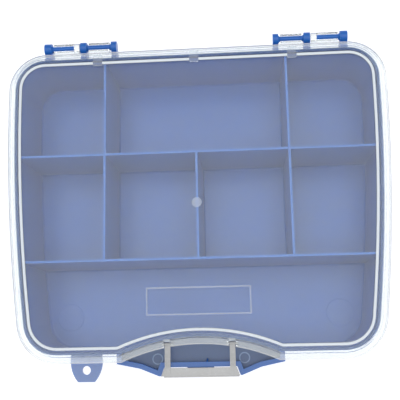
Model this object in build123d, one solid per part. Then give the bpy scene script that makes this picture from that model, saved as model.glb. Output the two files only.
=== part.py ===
from build123d import *
import os
from math import cos, radians, sin, sqrt

# Fishing tackle box: a tray moulded in one piece with its dividers, a clear lid that snaps on to two
# hinges at the back, and a clear U-shaped latch that hangs on the lid over the carrying grip.
# X runs along the hinge line, Y from the latch (-) to the hinges (+), Z up. The tray stands on Z = 0.

# Plan of the box, on the outer edge of the lid's flange
length = 247.0            # straight front edge to back edge
width_back = 301.6        # between the sides at the back edge
width_front = 271.0       # between the sides at the front edge
side_bow = 5.6            # how far each side bulges beyond its chord
corner_back = 30.0        # radius of the back corners
corner_front = 33.0       # radius of the front corners
grip_chord = 118.0        # width of the hollow in the front edge
grip_depth = 12.7         # depth of that hollow

# Heights
floor_top = 2.0
rim_top = 62.6
panel_gap = 0.2           # tray rim to lid panel
divider_gap = 4.4         # tops of the dividers to lid panel
panel_thick = 1.5
flange_drop = 4.3         # top of the lid's flange below the top of its panel
flange_thick = 1.4

# Walls, as distances inwards from the lid's edge
lip_thick = 1.0
flange_wide = 4.5
lid_wall = 1.3
rim_gap = 0.6             # lid wall to tray rim
tray_wall = 1.8
wall_draft = 2.4          # how far a tray wall leans outwards from floor to rim
foot_round = 4.0          # rounded edge all round the underside
foot_steps = 3            # facets of that round
floor_cove = 1.2          # chamfer where walls and dividers meet the floor
root_lap = 1.0            # how far a piece runs into what it is moulded on

# Dividers
divider_top_thick = 1.8
divider_foot_thick = 4.2
back_row_y = 38.0         # divider between the back and middle rows
front_row_y = -46.2       # divider between the middle and front rows
column_x = 73.0           # side dividers, either side of the middle

# Lid details
lip_up = 0.5
lip_down = 1.6
bead_inset = 10.9
bead_wide = 2.4
bead_high = 1.2
edge_round = 0.8          # rounded top edges of the bead and of the panel's step
label_wide = 79.0
label_deep = 21.0
label_y = -78.8
label_line = 1.1
label_high = 0.5
gate_radius = 3.9
gate_y = -4.0
gate_high = 0.5
lug_wide = 7.3
lug_x = 77.8
lug_overlap = 1.2         # how far a stacking lug runs past the bead and the step

# Hinges
hinge_back = 5.7          # pin axis behind the lid's edge
hinge_drop = 3.0          # pin axis below the top of the flange
knuckle_radius = 4.6
pin_radius = 2.1
pin_gap = 0.1
clip_wall = 1.7
clip_mouth = 60.0         # half angle of the clip's open top
end_gap = 0.5             # outer clip to the knuckle beside it, along the pin
flare_gap = 0.3           # clip to the flared root of a pin
pin_flare = 1.3           # length of that flare, and how much thicker the pin gets there
hinge_start = 63.6        # inner face of the inner knuckle
inner_knuckle_wide = 4.4
inner_pin_long = 20.4
middle_knuckle_wide = 5.0
clip_end_gap = 0.8        # middle knuckle to the closed end of the outer clip
clip_end_wall = 4.2
outer_pin_long = 18.3
outer_knuckle_wide = 5.8
gusset_drop = 15.0        # depth of the gusset under each knuckle
gusset_gap = 0.6          # gusset to the lid's lip

# Carrying grip in front of the tray
grip_reach = 10.4         # how far the grip stands out from the front edge
grip_tip_wide = 1.2       # flat at its front corners, beside the bay for the latch
grip_bend_x = 45.5        # where its slanting edges ease off towards the tray
grip_bend_reach = 4.6
grip_bend_round = 12.0
grip_beyond = 4.0         # how far it runs past each end of the hollow
notch_depth = 6.4         # of the bay for the latch
notch_slant = 2.4
grip_drop = 3.4           # top of the grip's rim below the top of the lid's flange
shelf_drop = 8.6          # shelf below the top of the rim
skirt_drop = 8.0          # bottom of the finger skirt below the shelf
grip_rim = 3.6            # width of the raised rim round the shelf
grip_wall = 1.4
web_x = 4.4               # small upright web between the shelf and the rim behind the bay
web_thick = 1.2
web_deep = 2.6
ring_x = 33.0
ring_back = 2.0           # ring centre behind the straight front edge
ring_radius = 4.2
ring_line = 0.9
ring_high = 0.5

# Latch
latch_drop = 2.2          # pivot axis below the top of the lid's flange
latch_back = 2.2          # pivot axis behind the lid's edge, at the middle of each arm
eye_radius = 1.6
eye_gap = 0.3             # latch eye to the slot in the lid, all round
latch_pin_radius = 0.9
latch_pin_gap = 0.1
arm_x = 24.3
arm_wide = 4.2
arm_thick = 2.0
arm_rise = 1.4            # top of each arm above the pivot axis
arm_edge = 0.9            # raised edges of the channel along each arm
arm_edge_high = 0.8
arm_edge_start = 7.4      # from the pivot axis, so that an upright latch clears the lid
arm_lap = 4.4             # how far each arm runs on over the front bar
ear_thick = 2.0           # ears under the flange, either side of each slot
ear_radius = 2.2
boss_deep = 1.9           # raised boss on the lid behind each slot
boss_high = 0.5
latch_gap = 0.4           # latch to grip, all round
bar_beyond = 0.6          # front bar past each arm, at its back edge
bar_thick = 1.5
latch_high = 14.2         # top of the front bar to the bottom of its skirt
pull_lip = 1.6            # how far the skirt's bottom edge stands out for a fingertip
pull_lip_edge = 1.0
pull_lip_high = 3.0
catch_half = 10.0
catch_out = 1.4
catch_drop = 5.6          # top of the catch's ramp below the top of the grip, at its foot
catch_nose = 1.0
catch_high = 4.0

# Hang tab
tab_beside = 11.7         # between the grip's end and the tab
tab_out = 13.8            # beyond the straight front edge
tab_root_wide = 23.0
tab_tip_wide = 12.6
tab_thick = 2.2
tab_drop = 6.8            # top of the tab below the tray's rim
tab_knee = 0.65           # share of the tab's length at which its sides bulge most
tab_belly = 0.93          # half width there, as a share of the root's
tab_hole_radius = 3.2
tab_hole_out = 5.2        # hole centre beyond the straight front edge
tab_rib = 1.4             # stiffening ribs under the tab
tab_rib_high = 4.4
tab_rib_out = 3.0

back_y = length / 2
front_y = -length / 2
hinge_y = back_y + hinge_back
panel_bottom = rim_top + panel_gap
panel_top = panel_bottom + panel_thick
divider_top = panel_bottom - divider_gap
flange_top = panel_top - flange_drop
flange_bottom = flange_top - flange_thick
lip_bottom = flange_bottom - lip_down
lid_wall_in = flange_wide + lid_wall
rim_outer = lid_wall_in + rim_gap
rim_inner = rim_outer + tray_wall
floor_inner = rim_inner + wall_draft
floor_outer = rim_outer + wall_draft

# Each side is an arc through its two ends that stands side_bow beyond its chord
side_chord = Vector(width_front / 2, front_y) - Vector(width_back / 2, back_y)
side_radius = (side_chord.length**2 / 4 + side_bow**2) / (2 * side_bow)
side_out = Vector(-side_chord.Y, side_chord.X).normalized()
side_middle = (Vector(width_front / 2, front_y) + Vector(width_back / 2, back_y)) * 0.5
side_centre = side_middle + side_out * (side_bow - side_radius)

hinge_z = flange_top - hinge_drop
latch_z = flange_top - latch_drop
grip_top = flange_top - grip_drop
shelf_top = grip_top - shelf_drop
grip_bottom = shelf_top - skirt_drop
tab_top = rim_top - tab_drop

outer_clip_start = hinge_start + inner_knuckle_wide + inner_pin_long + middle_knuckle_wide + clip_end_gap
inner_knuckle = (hinge_start, hinge_start + inner_knuckle_wide)
middle_knuckle = (inner_knuckle[1] + inner_pin_long, outer_clip_start - clip_end_gap)
outer_pin_start = outer_clip_start + clip_end_wall + end_gap
outer_knuckle = (outer_pin_start + outer_pin_long, outer_pin_start + outer_pin_long + outer_knuckle_wide)

bar_half = arm_x + arm_wide / 2 + bar_beyond
notch_half = bar_half + latch_gap + notch_slant / 2
grip_tip_x = notch_half + notch_slant / 2 + grip_tip_wide
grip_end_x = grip_chord / 2 + grip_beyond
tab_x = -(grip_end_x + tab_beside + tab_root_wide / 2)

grip_radius = (grip_chord**2 / 4 + grip_depth**2) / (2 * grip_depth)
grip_centre_y = front_y + grip_depth - grip_radius


def side_x(y, inset):
    return side_centre.X + sqrt((side_radius - inset) ** 2 - (y - side_centre.Y) ** 2)


def hollow_y(x, inset=0):
    return grip_centre_y + sqrt((grip_radius + inset) ** 2 - x**2)


latch_y = hollow_y(arm_x) + latch_back


def plan(inset, z):
    # The outline of the box, moved inwards by inset, as a face at height z
    back = back_y - inset
    front = front_y + inset
    waist = (back + front) / 2
    back_x, waist_x, front_x = [side_x(y, inset) for y in (back, waist, front)]
    hollow_x = sqrt((grip_radius + inset) ** 2 - (front - grip_centre_y) ** 2)
    with BuildSketch(Plane.XY.offset(z)) as sketch:
        with BuildLine():
            Line((-back_x, back), (back_x, back))
            ThreePointArc((back_x, back), (waist_x, waist), (front_x, front))
            Line((front_x, front), (hollow_x, front))
            ThreePointArc((hollow_x, front), (0, hollow_y(0, inset)), (-hollow_x, front))
            Line((-hollow_x, front), (-front_x, front))
            ThreePointArc((-front_x, front), (-waist_x, waist), (-back_x, back))
        make_face()
        fillet(sketch.vertices().group_by(Axis.Y)[-1], corner_back - inset)
        front_corners = sketch.vertices().group_by(Axis.Y)[0].sort_by(Axis.X)
        fillet([front_corners[0], front_corners[-1]], corner_front - inset)
    return sketch.sketch.face()


def stack(sections):
    # A solid through the plan at several insets and heights
    return loft([plan(inset, z) for inset, z in sections], ruled=True)


def ring(inset, wide, bottom, top):
    outer = extrude(plan(inset, bottom), top - bottom)
    return outer - extrude(plan(inset + wide, bottom), top - bottom)


def across(x0, x1, sketch):
    # A sketch drawn in Y and Z, stretched along X from x0 to x1
    return extrude(Plane.YZ.offset(x0) * sketch, x1 - x0)


def outline(points):
    return make_face(Polyline(points, close=True))


def dome_edge(inset, bottom, top, side):
    # The plan from bottom to top with a rounded upper edge; side 1 rounds it inwards, -1 outwards
    turns = [radians(a) for a in (0, 45, 90)]
    shoulder = [(inset + side * edge_round * (1 - cos(a)), top - edge_round * (1 - sin(a))) for a in turns]
    return stack([(inset, bottom)] + shoulder)


def divider_profile():
    top = divider_top_thick / 2
    foot = divider_foot_thick / 2
    sunk = floor_top / 2
    points = [(top, divider_top), (foot, floor_top + floor_cove), (foot + floor_cove, floor_top)]
    points += [(foot + floor_cove, sunk), (-foot - floor_cove, sunk)]
    points += [(-foot - floor_cove, floor_top), (-foot, floor_top + floor_cove), (-top, divider_top)]
    return outline(points)


def divider_row(y):
    return across(-width_back, width_back, Pos(y, 0) * divider_profile())


def divider_column(x, y0, y1):
    return extrude(Plane.XZ.offset(-y0) * (Pos(x, 0) * divider_profile()), y0 - y1)


def tray_inside():
    lean = wall_draft / (rim_top - foot_round)
    return stack([
        (floor_inner + floor_cove, floor_top),
        (floor_inner - lean * floor_cove, floor_top + floor_cove),
        (rim_inner, rim_top),
    ])


def tray_outside():
    turns = [radians(90 * i / foot_steps) for i in range(foot_steps + 1)]
    foot = [(floor_outer + foot_round * (1 - sin(a)), foot_round * (1 - cos(a))) for a in turns]
    return stack(foot + [(rim_outer, rim_top)])


def tub(inside):
    outside = tray_outside()
    dividers = divider_row(back_row_y) + divider_row(front_row_y)
    dividers += divider_column(0, front_row_y, back_row_y)
    for x in (-column_x, column_x):
        dividers += divider_column(x, front_row_y, back_y)
    return outside - inside + (dividers & outside)


def grip_outline(inset=0):
    # Plan of the grip in front of the tray, with the bay for the latch in its middle
    tip = front_y - grip_reach
    right = [
        (grip_end_x, front_y - root_lap),
        (grip_bend_x, front_y - grip_bend_reach),
        (grip_tip_x, tip),
        (notch_half + notch_slant / 2, tip),
        (notch_half - notch_slant / 2, tip + notch_depth),
    ]
    left = [(-x, y) for x, y in reversed(right)]
    inner = front_y + grip_depth + rim_outer + tray_wall / 2 + inset
    face = outline(right + left + [(-grip_end_x, inner), (grip_end_x, inner)])
    by_x = face.vertices().sort_by(lambda v: abs(abs(v.X) - grip_bend_x))
    face = fillet(by_x[:2], grip_bend_round)
    return offset(face, -inset, kind=Kind.INTERSECTION) if inset else face


def grip():
    # A shelf with a raised rim, folded over and down again as a skirt for the fingers
    rim = extrude(Pos(0, 0, grip_bottom) * grip_outline(), grip_top - grip_bottom)
    dish = extrude(Pos(0, 0, shelf_top) * grip_outline(grip_rim), shelf_drop)
    under = extrude(Pos(0, 0, grip_bottom) * grip_outline(grip_wall), skirt_drop - grip_wall)
    bay_y = front_y - grip_reach + notch_depth
    catch_low = grip_top - catch_drop
    catch = outline([
        (bay_y + grip_wall / 2, catch_low),
        (bay_y, catch_low),
        (bay_y - catch_out, catch_low + catch_nose),
        (bay_y, catch_low + catch_high),
        (bay_y + grip_wall / 2, catch_low + catch_high),
    ])
    marks = Sketch()
    for x in (-ring_x, ring_x):
        marks += Pos(x, front_y + ring_back) * (Circle(ring_radius) - Circle(ring_radius - ring_line))
    rings = extrude(Pos(0, 0, shelf_top) * marks, ring_high)
    web_y = bay_y + grip_rim
    web = outline([(web_y, shelf_top), (web_y, grip_top), (web_y + web_deep, shelf_top)])
    ridge = across(-catch_half, catch_half, catch)
    return rim - dish - under + rings + ridge + across(web_x, web_x + web_thick, web)


def knuckle(x0, x1):
    # A hinge eye on a gusset that runs down the back wall of the tray
    root = back_y - rim_outer - tray_wall
    low = hinge_z - knuckle_radius
    gusset_top = lip_bottom - gusset_gap
    gusset = outline([
        (root, gusset_top),
        (hinge_y - sqrt(knuckle_radius**2 - (gusset_top - hinge_z) ** 2), gusset_top),
        (hinge_y, hinge_z),
        (hinge_y, low),
        (root, low - gusset_drop),
    ])
    eye = Pos(hinge_y, hinge_z) * Circle(knuckle_radius)
    return across(x0, x1, gusset + eye)


def hinge_pin(x0, x1, flared):
    # A pin with a flared root at each knuckle that it stands on
    pin = across(x0, x1, Pos(hinge_y, hinge_z) * Circle(pin_radius))
    for x, side in flared:
        root = Plane.YZ.offset(x) * Pos(hinge_y, hinge_z) * Circle(pin_radius + pin_flare)
        neck = Plane.YZ.offset(x + side * pin_flare) * Pos(hinge_y, hinge_z) * Circle(pin_radius)
        pin += loft([root.face(), neck.face()])
    return pin


def tray_hinge():
    roots = [(inner_knuckle[1], 1), (middle_knuckle[0], -1)]
    parts = hinge_pin(inner_knuckle[1], middle_knuckle[0], roots)
    parts += hinge_pin(outer_pin_start, outer_knuckle[0], [(outer_knuckle[0], -1)])
    for x0, x1 in (inner_knuckle, middle_knuckle, outer_knuckle):
        parts += knuckle(x0, x1)
    return parts


def hang_tab():
    # A flat tongue with a hole, on two ribs
    root = front_y + rim_outer + tray_wall / 2
    tip = front_y - tab_out
    knee = root + tab_knee * (tip - root)
    half_root = tab_root_wide / 2
    half_tip = tab_tip_wide / 2
    half_knee = half_root * tab_belly
    edge = Line((-half_root, root), (half_root, root))
    edge += ThreePointArc((half_root, root), (half_knee, knee), (half_tip, tip))
    edge += Line((half_tip, tip), (-half_tip, tip))
    edge += ThreePointArc((-half_tip, tip), (-half_knee, knee), (-half_root, root))
    hole = Pos(0, front_y - tab_hole_out) * Circle(tab_hole_radius)
    heel = Pos(0, root + corner_front / 2) * Rectangle(tab_root_wide, corner_front)
    plate = extrude(make_face(edge) + heel - hole, tab_thick)
    rib_deep = root - front_y + tab_rib_out
    rib = Pos(0, root - rib_deep / 2) * Rectangle(tab_rib, rib_deep)
    for x in (tab_rib - half_root, half_root - tab_rib):
        plate += extrude(Pos(x, 0, -tab_rib_high) * rib, tab_rib_high)
    return Pos(tab_x, 0, tab_top - tab_thick) * plate - tray_outside()


def base_tray():
    inside = tray_inside()
    hinge = tray_hinge()
    outworks = grip() + hinge + mirror(hinge, about=Plane.YZ)
    return tub(inside) + (outworks - inside)


def hinge_clip():
    # A trough open at the top, so that it snaps up round the pin
    outer_radius = pin_radius + pin_gap + clip_wall
    strap_deep = hinge_y - back_y + lip_thick / 2
    strap_z = flange_bottom + flange_thick / 2
    strap = Pos(hinge_y - strap_deep / 2, strap_z) * Rectangle(strap_deep, flange_thick)
    end = Pos(hinge_y, hinge_z) * Circle(outer_radius) + strap
    past = 2 * outer_radius
    mouth_y = past * sin(radians(clip_mouth))
    mouth_z = past * cos(radians(clip_mouth))
    mouth = outline([(0, 0), (mouth_y, mouth_z), (0, past), (-mouth_y, mouth_z)])
    trough = end - Pos(hinge_y, hinge_z) * (Circle(pin_radius + pin_gap) + mouth)
    clear = pin_flare + flare_gap
    parts = across(inner_knuckle[1] + clear, middle_knuckle[0] - clear, trough)
    parts += across(outer_clip_start, outer_clip_start + clip_end_wall, end)
    return parts + across(outer_clip_start + clip_end_wall, outer_knuckle[0] - clear, trough)


def arm_slots():
    # Slots through the flange and the lip, in which the eyes of the latch turn
    back = latch_y + eye_radius + eye_gap
    front = front_y
    half = arm_wide / 2 + eye_gap
    slot = Pos(0, (back + front) / 2) * Rectangle(2 * half, back - front)
    slots = Sketch()
    for x in (-arm_x, arm_x):
        slots += Pos(x, 0) * slot
    return extrude(Pos(0, 0, latch_z - 2 * ear_radius) * slots, 4 * ear_radius)


def pin_holes():
    reach = arm_wide / 2 + eye_gap + ear_thick
    hole = Pos(latch_y, latch_z) * Circle(latch_pin_radius + latch_pin_gap)
    return across(-arm_x - reach, reach - arm_x, hole) + across(arm_x - reach, arm_x + reach, hole)


def latch_ears():
    # Two pairs of ears under the flange, one pair astride each slot
    ears = Part()
    for side in (-1, 1):
        for gap_side in (-1, 1):
            x = side * arm_x + gap_side * (arm_wide / 2 + eye_gap + ear_thick / 2)
            half_wide = min(ear_radius, latch_y - hollow_y(x))
            web = Pos(latch_y, (latch_z + flange_top) / 2) * Rectangle(2 * half_wide, flange_top - latch_z)
            ear = web + Pos(latch_y, latch_z) * Circle(half_wide)
            ears += across(x - ear_thick / 2, x + ear_thick / 2, ear)
    return ears


def slot_bosses():
    half = arm_wide / 2 + eye_gap
    y = latch_y + eye_radius + eye_gap + boss_deep / 2 + panel_gap
    bosses = Sketch()
    for x in (-arm_x, arm_x):
        bosses += Pos(x, y) * Rectangle(2 * half, boss_deep)
    return extrude(Pos(0, 0, panel_top - root_lap) * bosses, root_lap + boss_high)


def label_frame():
    outer = Rectangle(label_wide, label_deep)
    inner = Rectangle(label_wide - 2 * label_line, label_deep - 2 * label_line)
    return extrude(Pos(0, label_y, panel_top) * (outer - inner), label_high)


def stacking_lugs():
    deep = bead_inset + bead_wide / 2 - flange_wide + lug_overlap
    y = back_y - flange_wide - deep / 2
    lugs = Sketch()
    for x in (-lug_x, 0, lug_x):
        lugs += Pos(x, y) * Rectangle(lug_wide, deep)
    return extrude(Pos(0, 0, panel_top) * lugs, bead_high)


def lid():
    flange = ring(0, lid_wall_in, flange_bottom, flange_top)
    lip = ring(0, lip_thick, lip_bottom, flange_top + lip_up)
    wall = ring(flange_wide, lid_wall, flange_bottom, panel_bottom)
    panel = dome_edge(flange_wide, panel_bottom, panel_top, 1)
    bead_out = bead_inset - bead_wide / 2
    bead = dome_edge(bead_out, panel_top, panel_top + bead_high, 1)
    bead -= dome_edge(bead_out + bead_wide, panel_top, panel_top + bead_high, -1)
    gate = extrude(Pos(0, gate_y, panel_top) * Circle(gate_radius), gate_high)
    clip = hinge_clip()
    body = panel + wall + flange + lip + latch_ears() - arm_slots() - pin_holes()
    body += bead + label_frame() + gate + stacking_lugs() + slot_bosses()
    return body + clip + mirror(clip, about=Plane.YZ)


def latch_arm(bar_back, low):
    # A channel between two raised edges, with a pin through the eye at its back end
    end = bar_back - arm_lap
    top = low + arm_thick
    edge_top = top + arm_edge_high
    eye = Pos(latch_y, latch_z) * Circle(eye_radius)
    strip = outline([(latch_y, low), (latch_y, top), (end, top), (end, low)])
    edge_start = latch_y - arm_edge_start
    edge = outline([(edge_start, low), (edge_start, edge_top), (end, edge_top), (end, low)])
    arm = across(-arm_wide / 2, arm_wide / 2, strip + eye)
    for x in (-arm_wide / 2, arm_wide / 2 - arm_edge):
        arm += across(x, x + arm_edge, edge)
    pin_reach = arm_wide / 2 + eye_gap + ear_thick
    return arm + across(-pin_reach, pin_reach, Pos(latch_y, latch_z) * Circle(latch_pin_radius))


def front_latch():
    # Two arms and a front bar with slanting ends, whose skirt hangs in front of the catch
    bar_front = front_y - grip_reach
    bar_back = bar_front + notch_depth - latch_gap
    half_front = bar_half + notch_slant * (bar_back - bar_front) / notch_depth
    low = latch_z + arm_rise - arm_thick
    top = low + arm_thick
    bottom = top - latch_high
    bar = outline([
        (-bar_half, bar_back),
        (bar_half, bar_back),
        (half_front, bar_front),
        (-half_front, bar_front),
    ])
    skirt = outline([
        (bar_front, top),
        (bar_front + bar_thick, top),
        (bar_front + bar_thick, bottom),
        (bar_front - pull_lip, bottom),
        (bar_front - pull_lip, bottom + pull_lip_edge),
        (bar_front, bottom + pull_lip_high),
    ])
    half_skirt = half_front - notch_slant * bar_thick / notch_depth
    latch = extrude(Pos(0, 0, low) * bar, arm_thick) + across(-half_skirt, half_skirt, skirt)
    for x in (-arm_x, arm_x):
        latch += Pos(x, 0, 0) * latch_arm(bar_back, low)
    return latch


# The hang tab is moulded with the tray; its solid ends on the tray's wall
nodes = {"base_tray": base_tray(), "hang_tab": hang_tab(), "lid": lid(), "front_latch": front_latch()}
os.makedirs("parts", exist_ok=True)
for name, shape in nodes.items():
    export_step(shape, f"parts/{name}.step")
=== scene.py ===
import bpy
from math import pi
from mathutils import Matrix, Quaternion, Vector


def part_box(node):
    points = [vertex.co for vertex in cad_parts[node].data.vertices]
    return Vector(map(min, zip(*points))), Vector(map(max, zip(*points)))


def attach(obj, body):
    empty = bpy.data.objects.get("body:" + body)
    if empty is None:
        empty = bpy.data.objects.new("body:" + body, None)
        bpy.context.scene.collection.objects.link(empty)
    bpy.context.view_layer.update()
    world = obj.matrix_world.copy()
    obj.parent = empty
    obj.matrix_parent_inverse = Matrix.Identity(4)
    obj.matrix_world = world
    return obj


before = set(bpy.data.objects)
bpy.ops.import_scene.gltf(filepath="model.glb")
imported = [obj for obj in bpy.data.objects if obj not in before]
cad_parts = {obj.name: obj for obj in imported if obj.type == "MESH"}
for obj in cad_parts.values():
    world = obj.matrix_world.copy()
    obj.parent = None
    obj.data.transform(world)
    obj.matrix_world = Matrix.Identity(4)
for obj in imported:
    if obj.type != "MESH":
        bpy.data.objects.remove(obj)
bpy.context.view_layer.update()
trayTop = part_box("base_tray")[1][2]
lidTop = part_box("lid")[1][2]
print("frame loaded")


# Small helpers for node trees
def addNode(tree, kind, **values):
    node = tree.nodes.new(kind)
    for key, value in values.items():
        if key in node.inputs:
            node.inputs[key].default_value = value
        else:
            setattr(node, key, value)
    return node


def join(tree, source, target):
    tree.links.new(source, target)


def feed(tree, source, socket):
    # A socket takes another socket, a number or a colour
    if isinstance(source, bpy.types.NodeSocket):
        tree.links.new(source, socket)
    elif isinstance(source, tuple) and len(source) == 3 and len(socket.default_value) == 4:
        socket.default_value = (*source, 1)
    else:
        socket.default_value = source


def maths(tree, operation, *sources):
    node = addNode(tree, "ShaderNodeMath", operation=operation)
    for source, socket in zip(sources, node.inputs):
        feed(tree, source, socket)
    return node.outputs[0]


def vectorMaths(tree, operation, *sources):
    node = addNode(tree, "ShaderNodeVectorMath", operation=operation)
    for source, socket in zip(sources, node.inputs):
        feed(tree, source, socket)
    return node


def split(tree, vector):
    node = tree.nodes.new("ShaderNodeSeparateXYZ")
    join(tree, vector, node.inputs[0])
    return node.outputs


def noise(tree, coords, scale, detail=3.0, rough=0.5):
    texture = addNode(tree, "ShaderNodeTexNoise", Scale=scale, Detail=detail, Roughness=rough)
    join(tree, coords, texture.inputs["Vector"])
    return texture.outputs["Fac"]


def remap(tree, value, low, high, fromLow=0.0, fromHigh=1.0):
    node = tree.nodes.new("ShaderNodeMapRange")
    for index, number in ((1, fromLow), (2, fromHigh), (3, low), (4, high)):
        node.inputs[index].default_value = number
    join(tree, value, node.inputs[0])
    return node.outputs[0]


def mixColour(tree, factor, first, second):
    node = addNode(tree, "ShaderNodeMix", data_type="RGBA")
    feed(tree, factor, node.inputs[0])
    feed(tree, first, node.inputs[6])
    feed(tree, second, node.inputs[7])
    return node.outputs[2]


def mixShader(tree, factor, first, second):
    node = tree.nodes.new("ShaderNodeMixShader")
    feed(tree, factor, node.inputs[0])
    join(tree, first, node.inputs[1])
    join(tree, second, node.inputs[2])
    return node.outputs[0]


def band(tree, value, low, high):
    # 1 between low and high, else 0
    return maths(tree, "COMPARE", value, (low + high) / 2, (high - low) / 2)


def between(tree, depths, top, height):
    # 1 between two depths below top, else 0
    return band(tree, height, top - depths[1], top - depths[0])


def edges(tree, radius, gain):
    # How much the surface turns within radius of a point: 0 on a flat, up to 1 at an edge
    soft = addNode(tree, "ShaderNodeBevel", samples=6, Radius=radius)
    geometry = tree.nodes.new("ShaderNodeNewGeometry")
    along = vectorMaths(tree, "DOT_PRODUCT", soft.outputs[0], geometry.outputs["Normal"]).outputs["Value"]
    turn = maths(tree, "SUBTRACT", 1.0, along)
    strong = addNode(tree, "ShaderNodeMath", operation="MULTIPLY", use_clamp=True)
    join(tree, turn, strong.inputs[0])
    strong.inputs[1].default_value = gain
    return strong.outputs[0]


def startMaterial(name):
    material = bpy.data.materials.new(name)
    material.use_nodes = True
    tree = material.node_tree
    tree.nodes.clear()
    output = tree.nodes.new("ShaderNodeOutputMaterial")
    coords = tree.nodes.new("ShaderNodeTexCoord")
    return material, tree, output, coords.outputs["Object"]


# Blue plastic with painted light and shade: darker down at the floor and lighter towards the thin tops of
# the dividers (painted shade), grey on the shelf of the grip (painted shade and painted reflection).
# Depths are below the top of the tray's rim.
trayLook = {
    # Floor colour rising to the top colour: painted shade, darker down in the compartments
    "floorColour": (0.005, 0.094, 0.400),
    "litTopColour": (0.010, 0.135, 0.520),
    # Painted shade: the dark rim under the lid's flange
    "rimShadeColour": (0.006, 0.050, 0.200),
    # Painted shade and painted reflection: the grey of the grip's shelf
    "shelfColour": (0.120, 0.170, 0.290),
    "ringColour": (0.300, 0.380, 0.520),   # painted highlight on the tops of the ring marks on the shelf
    "gripColour": (0.070, 0.170, 0.470),   # rim of the grip: its own blue, greyed by painted reflection
    "edgeHighlightColour": (0.060, 0.220, 0.620),   # painted highlight along the edges
    # Painted reflection: pale grey sheen mixed over the tab
    "sheenColour": (0.550, 0.560, 0.580),
    "floorHeight": 0.0040,
    "topDepth": 0.0066,      # where the colour of the divider tops is reached
    "rimDepth": 0.0034,
    "rimBack": 0.1175,       # the hinges behind it keep the body's colour
    "shelfDepths": (0.0136, 0.0148),
    "ringDepths": (0.0136, 0.0143),
    "gripDepths": (0.0056, 0.0066),
    "hollowCentre": (0.0, -0.2542, 0.0),   # centre of the arc in the front edge
    "hollowRadius": 0.1500,  # to just past the wall behind the grip
    "hollowFade": 0.0010,
    "mottle": 0.05,          # share of lighter and darker patches
    "edgeHighlight": 0.35,        # painted highlight: how much paler the edges are
    "edgeRadius": 0.0006,
    # Shares of painted reflection on the tray and on the tab
    "traySheen": 0.0,
    "tabSheen": 0.38,
    "roughness": (0.27, 0.33),
    "grain": 0.15,           # depth of the mould texture
    "translucency": 0.30,
}


def onGrip(tree, coords, height, depths):
    flat = vectorMaths(tree, "MULTIPLY", coords, (1.0, 1.0, 0.0)).outputs[0]
    away = vectorMaths(tree, "DISTANCE", flat, trayLook["hollowCentre"]).outputs["Value"]
    radius = trayLook["hollowRadius"]
    inHollow = remap(tree, away, 1.0, 0.0, radius - trayLook["hollowFade"], radius)
    return maths(tree, "MULTIPLY", inHollow, between(tree, depths, trayTop, height))


def onRim(tree, coords, height):
    above = maths(tree, "GREATER_THAN", height, trayTop - trayLook["rimDepth"])
    inFront = maths(tree, "LESS_THAN", split(tree, coords)["Y"], trayLook["rimBack"])
    return maths(tree, "MULTIPLY", above, inFront)


def mouldedSurface(tree, coords, shader, grainDepth, finish):
    # Fine mould texture, faint waviness and rubbed patches that shine a little more
    rubbed = noise(tree, coords, 90, 5.0, 0.6)
    grain = noise(tree, coords, 2200)
    mixed = maths(tree, "MULTIPLY_ADD", rubbed, 0.6, maths(tree, "MULTIPLY", grain, 0.4))
    join(tree, remap(tree, mixed, *finish, 0.3, 0.7), shader.inputs["Roughness"])
    wave = addNode(tree, "ShaderNodeBump", Strength=0.02, Distance=0.0006)
    join(tree, noise(tree, coords, 55, 1.0), wave.inputs["Height"])
    bump = addNode(tree, "ShaderNodeBump", Strength=grainDepth, Distance=0.0002)
    join(tree, grain, bump.inputs["Height"])
    join(tree, wave.outputs[0], bump.inputs["Normal"])
    join(tree, bump.outputs[0], shader.inputs["Normal"])


def trayColour(tree, coords, sheen):
    height = split(tree, coords)["Z"]
    # Painted shade: the colour darkens from the tops of the walls and dividers down to the floor
    top = trayTop - trayLook["topDepth"]
    rise = remap(tree, height, 0.0, 1.0, trayLook["floorHeight"], top)
    colour = mixColour(tree, rise, trayLook["floorColour"], trayLook["litTopColour"])
    # Painted shade and painted reflection on the grip's shelf, painted highlight on the ring tops, painted
    # reflection on the grip's rim
    for part in ("shelf", "ring", "grip"):
        share = onGrip(tree, coords, height, trayLook[part + "Depths"])
        colour = mixColour(tree, share, colour, trayLook[part + "Colour"])
    # Painted shade on the rim under the lid's flange
    colour = mixColour(tree, onRim(tree, coords, height), colour, trayLook["rimShadeColour"])
    mottle = trayLook["mottle"]
    patches = remap(tree, noise(tree, coords, 28, 4.0, 0.6), -mottle, mottle, 0.3, 0.7)
    shaded = addNode(tree, "ShaderNodeHueSaturation")
    join(tree, colour, shaded.inputs["Color"])
    join(tree, maths(tree, "ADD", patches, 1.0), shaded.inputs["Value"])
    # Painted highlight along the edges
    highlight = maths(tree, "MULTIPLY", edges(tree, trayLook["edgeRadius"], 3.0), trayLook["edgeHighlight"])
    colour = mixColour(tree, highlight, shaded.outputs[0], trayLook["edgeHighlightColour"])
    # Painted reflection: pale grey sheen mixed over the colour
    return mixColour(tree, sheen, colour, trayLook["sheenColour"])


def trayPlastic(name, sheen):
    material, tree, output, coords = startMaterial(name)
    shader = addNode(tree, "ShaderNodeBsdfPrincipled", IOR=1.49)
    join(tree, trayColour(tree, coords, sheen), shader.inputs["Base Color"])
    shader.inputs["Subsurface Weight"].default_value = trayLook["translucency"]
    shader.inputs["Subsurface Radius"].default_value = (0.3, 0.6, 1.0)
    shader.inputs["Subsurface Scale"].default_value = 0.004
    mouldedSurface(tree, coords, shader, trayLook["grain"], trayLook["roughness"])
    join(tree, shader.outputs[0], output.inputs[0])
    return material


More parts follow.
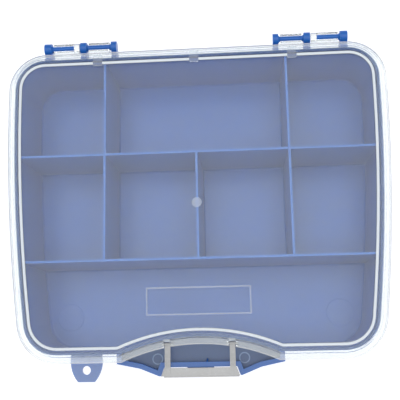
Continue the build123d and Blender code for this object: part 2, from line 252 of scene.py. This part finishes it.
# Clear plastic: a little milky, more so on walls, on the lip and along raised edges.
# Depths are below the top of the bead.
lidLook = {
    "milk": (0.012, 0.28),   # on level faces and on upright ones
    "flangeMilk": 0.22,
    "lipMilk": 0.35,
    "lineMilk": 0.30,        # label frame, gate and bosses
    "beadMilk": 0.92,
    "lugMilk": 0.22,
    "flangeDepths": (0.0053, 0.0085),
    "lipDepths": (0.0045, 0.0053),
    "lineDepth": 0.0010,     # from here up are the label frame, the gate and the bosses
    "beadDepth": 0.0005,     # and from here up only the bead and the lugs
    "lugPlaces": (0.0, 0.0778),   # either side of the middle
    "lugHalf": 0.0037,
    "lugFront": 0.1000,
    "flow": 0.012,           # flow lines that spread from the gate
    "flowLines": 9.0,
    "flowLength": 12.0,
    "gate": (0.0, -0.004, 0.0),
    "roughness": 0.05,
    "clear": (0.95, 0.985, 1.00),
    "white": (0.90, 0.95, 1.00),
    "flangeWhite": (0.96, 0.94, 0.91),
    "flangeDepth": 0.0043,   # the flange's white reaches up to here
    "shade": (0.90, 0.92, 0.94),   # light that lamps send through
}
latchLook = dict(
    lidLook,
    milk=(0.75, 0.80),
    lipMilk=0.75,
    flangeWhite=(0.56, 0.54, 0.53),
    shade=(0.85, 0.86, 0.88),
)


def flowLines(tree, coords, look):
    spread = vectorMaths(tree, "SUBTRACT", coords, look["gate"]).outputs[0]
    aim = split(tree, spread)
    angle = maths(tree, "ARCTAN2", aim["Y"], aim["X"])
    reach = vectorMaths(tree, "LENGTH", spread).outputs["Value"]
    polar = tree.nodes.new("ShaderNodeCombineXYZ")
    join(tree, maths(tree, "MULTIPLY", angle, look["flowLines"]), polar.inputs[0])
    join(tree, maths(tree, "MULTIPLY", reach, look["flowLength"]), polar.inputs[1])
    return remap(tree, noise(tree, polar.outputs[0], 2.5, 4.0, 0.6), 0.0, look["flow"], 0.4, 0.8)


def onLug(tree, coords, height, look):
    # The stacking lugs across the bead at the back
    place = split(tree, coords)
    aside = maths(tree, "ABSOLUTE", place["X"])
    near = [maths(tree, "COMPARE", aside, middle, look["lugHalf"]) for middle in look["lugPlaces"]]
    back = maths(tree, "GREATER_THAN", place["Y"], look["lugFront"])
    raised = maths(tree, "GREATER_THAN", height, lidTop - look["beadDepth"])
    return maths(tree, "MULTIPLY", maths(tree, "ADD", *near), maths(tree, "MULTIPLY", back, raised))


def milkShare(tree, coords, look):
    height = split(tree, coords)["Z"]
    normal = tree.nodes.new("ShaderNodeTexCoord").outputs["Normal"]
    level = split(tree, vectorMaths(tree, "ABSOLUTE", normal).outputs[0])["Z"]
    low, high = look["milk"]
    share = maths(tree, "ADD", remap(tree, level, high, low), flowLines(tree, coords, look))
    places = {
        "flangeMilk": between(tree, look["flangeDepths"], lidTop, height),
        "lipMilk": between(tree, look["lipDepths"], lidTop, height),
        "lineMilk": maths(tree, "GREATER_THAN", height, lidTop - look["lineDepth"]),
        "beadMilk": maths(tree, "GREATER_THAN", height, lidTop - look["beadDepth"]),
    }
    for milk, place in places.items():
        share = maths(tree, "MAXIMUM", share, maths(tree, "MULTIPLY", place, look[milk]))
    mixed = addNode(tree, "ShaderNodeMix", data_type="FLOAT")
    join(tree, onLug(tree, coords, height, look), mixed.inputs[0])
    join(tree, share, mixed.inputs[2])
    mixed.inputs[3].default_value = look["lugMilk"]
    return mixed.outputs[0]


def clearBody(tree, coords, look):
    glass = addNode(tree, "ShaderNodeBsdfPrincipled", IOR=1.49, Roughness=look["roughness"])
    glass.inputs["Transmission Weight"].default_value = 1.0
    glass.inputs["Base Color"].default_value = (*look["clear"], 1)
    wave = addNode(tree, "ShaderNodeBump", Strength=0.03, Distance=0.0004)
    join(tree, noise(tree, coords, 60, 2.0), wave.inputs["Height"])
    join(tree, wave.outputs[0], glass.inputs["Normal"])
    white = addNode(tree, "ShaderNodeBsdfPrincipled", IOR=1.49)
    join(tree, remap(tree, noise(tree, coords, 400, 4.0), 0.12, 0.34, 0.3, 0.7), white.inputs["Roughness"])
    above = maths(tree, "GREATER_THAN", split(tree, coords)["Z"], lidTop - look["flangeDepth"])
    join(tree, mixColour(tree, above, look["flangeWhite"], look["white"]), white.inputs["Base Color"])
    return mixShader(tree, milkShare(tree, coords, look), glass.outputs[0], white.outputs[0])


def clearPlastic(name, look):
    # Lamps shine through it, so that what it covers is lit
    material, tree, output, coords = startMaterial(name)
    ray = tree.nodes.new("ShaderNodeLightPath").outputs["Is Shadow Ray"]
    through = addNode(tree, "ShaderNodeBsdfTransparent", Color=(*look["shade"], 1))
    whole = mixShader(tree, ray, clearBody(tree, coords, look), through.outputs[0])
    join(tree, whole, output.inputs[0])
    return material


def paint(node, material):
    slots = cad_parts[node].data.materials
    slots.clear()
    slots.append(material)


trayMaterial = trayPlastic("trayPlastic", trayLook["traySheen"])
paint("base_tray", trayMaterial)
# The tab gets a pale painted reflection
paint("hang_tab", trayPlastic("tabPlastic", trayLook["tabSheen"]))
paint("lid", clearPlastic("lidPlastic", lidLook))
paint("front_latch", clearPlastic("latchPlastic", latchLook))
print("materials set")


# Faint ring marks that the mould leaves on the floor, near both front corners
marks = {
    "Spread": 0.224,         # between the two centres
    "Back": 0.0880,          # centres in front of the middle of the box
    "Radius": 0.0110,
    "Width": 0.0007,
    "Floor": 0.0019,
}


def ringTree(material):
    tree = bpy.data.node_groups.new("ringMarks", "GeometryNodeTree")
    ids = {}
    for key, value in marks.items():
        socket = tree.interface.new_socket(key, in_out="INPUT", socket_type="NodeSocketFloat")
        socket.default_value = value
        ids[key] = socket.identifier
    tree.interface.new_socket("Geometry", in_out="OUTPUT", socket_type="NodeSocketGeometry")
    given = tree.nodes.new("NodeGroupInput").outputs
    start = tree.nodes.new("ShaderNodeCombineXYZ")
    join(tree, maths(tree, "MULTIPLY", given["Spread"], -0.5), start.inputs[0])
    join(tree, maths(tree, "MULTIPLY", given["Back"], -1.0), start.inputs[1])
    join(tree, given["Floor"], start.inputs[2])
    step = tree.nodes.new("ShaderNodeCombineXYZ")
    join(tree, given["Spread"], step.inputs[0])
    line = addNode(tree, "GeometryNodeMeshLine", Count=2)
    join(tree, start.outputs[0], line.inputs["Start Location"])
    join(tree, step.outputs[0], line.inputs["Offset"])
    circle = addNode(tree, "GeometryNodeCurvePrimitiveCircle", Resolution=96)
    join(tree, given["Radius"], circle.inputs["Radius"])
    section = addNode(tree, "GeometryNodeCurvePrimitiveCircle", Resolution=10)
    join(tree, maths(tree, "MULTIPLY", given["Width"], 0.5), section.inputs["Radius"])
    sweep = tree.nodes.new("GeometryNodeCurveToMesh")
    join(tree, circle.outputs[0], sweep.inputs[0])
    join(tree, section.outputs[0], sweep.inputs[1])
    instances = tree.nodes.new("GeometryNodeInstanceOnPoints")
    join(tree, line.outputs[0], instances.inputs["Points"])
    join(tree, sweep.outputs[0], instances.inputs["Instance"])
    realized = tree.nodes.new("GeometryNodeRealizeInstances")
    join(tree, instances.outputs[0], realized.inputs[0])
    painted = addNode(tree, "GeometryNodeSetMaterial", Material=material)
    join(tree, realized.outputs[0], painted.inputs["Geometry"])
    join(tree, painted.outputs[0], tree.nodes.new("NodeGroupOutput").inputs[0])
    return tree, ids


def addRingMarks():
    tree, ids = ringTree(trayMaterial)
    maker = bpy.data.objects.new("ringMaker", bpy.data.meshes.new("ringMaker"))
    bpy.context.scene.collection.objects.link(maker)
    modifier = maker.modifiers.new("rings", "NODES")
    modifier.node_group = tree
    for key, identifier in ids.items():
        modifier[identifier] = marks[key]
    evaluated = maker.evaluated_get(bpy.context.evaluated_depsgraph_get())
    mesh = bpy.data.meshes.new_from_object(evaluated)
    bpy.data.objects.remove(maker)
    for face in mesh.polygons:
        face.use_smooth = True
    rings = bpy.data.objects.new("ring_marks", mesh)
    bpy.context.scene.collection.objects.link(rings)
    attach(rings, "tray")


addRingMarks()
print("ring marks made")


studio = {
    "floorSize": 6.0,
    "floorColour": (0.50, 0.50, 0.50),
    "floorGlow": 0.80,
    "panelSize": 1.4,
    "panelHeight": 1.5,
    "panelRadiance": 1.5,
    "panelColour": (0.92, 0.98, 1.00),
    "worldStrength": 0.55,
    "lens": 63.0,
    "cameraPlace": (0.0362, -0.1048, 0.5913),
    "cameraTurn": (0.1910, 0.0654, -0.0261),   # axis times angle
}


def addFloor(scene):
    half = studio["floorSize"] / 2
    mesh = bpy.data.meshes.new("floor")
    corners = [(-half, -half, 0), (half, -half, 0), (half, half, 0), (-half, half, 0)]
    mesh.from_pydata(corners, [], [(0, 1, 2, 3)])
    floor = bpy.data.objects.new("floor", mesh)
    scene.collection.objects.link(floor)
    material, tree, output, coords = startMaterial("floorPaper")
    shader = addNode(tree, "ShaderNodeBsdfPrincipled", Roughness=0.9)
    shader.inputs["Base Color"].default_value = (*studio["floorColour"], 1)
    shader.inputs["Emission Color"].default_value = (1, 1, 1, 1)
    shader.inputs["Emission Strength"].default_value = studio["floorGlow"]
    join(tree, shader.outputs[0], output.inputs[0])
    mesh.materials.append(material)


def addLight(scene):
    side = studio["panelSize"]
    lamp = bpy.data.lights.new("softPanel", "AREA")
    lamp.size = side
    lamp.color = studio["panelColour"]
    lamp.energy = studio["panelRadiance"] * pi * side * side
    panel = bpy.data.objects.new("softPanel", lamp)
    panel.location = (0, 0, studio["panelHeight"])
    scene.collection.objects.link(panel)
    world = bpy.data.worlds.new("studio")
    world.use_nodes = True
    background = world.node_tree.nodes["Background"]
    background.inputs[0].default_value = (1, 1, 1, 1)
    background.inputs[1].default_value = studio["worldStrength"]
    scene.world = world
    scene.view_settings.view_transform = "Standard"


def addCamera(scene):
    data = bpy.data.cameras.new("camera")
    data.lens = studio["lens"]
    data.clip_start = 0.01
    camera = bpy.data.objects.new("camera", data)
    turn = Vector(studio["cameraTurn"])
    camera.rotation_mode = "QUATERNION"
    camera.rotation_quaternion = Quaternion(turn.normalized(), turn.length)
    camera.location = studio["cameraPlace"]
    scene.collection.objects.link(camera)
    scene.camera = camera


addFloor(bpy.context.scene)
addLight(bpy.context.scene)
addCamera(bpy.context.scene)
print("studio set")
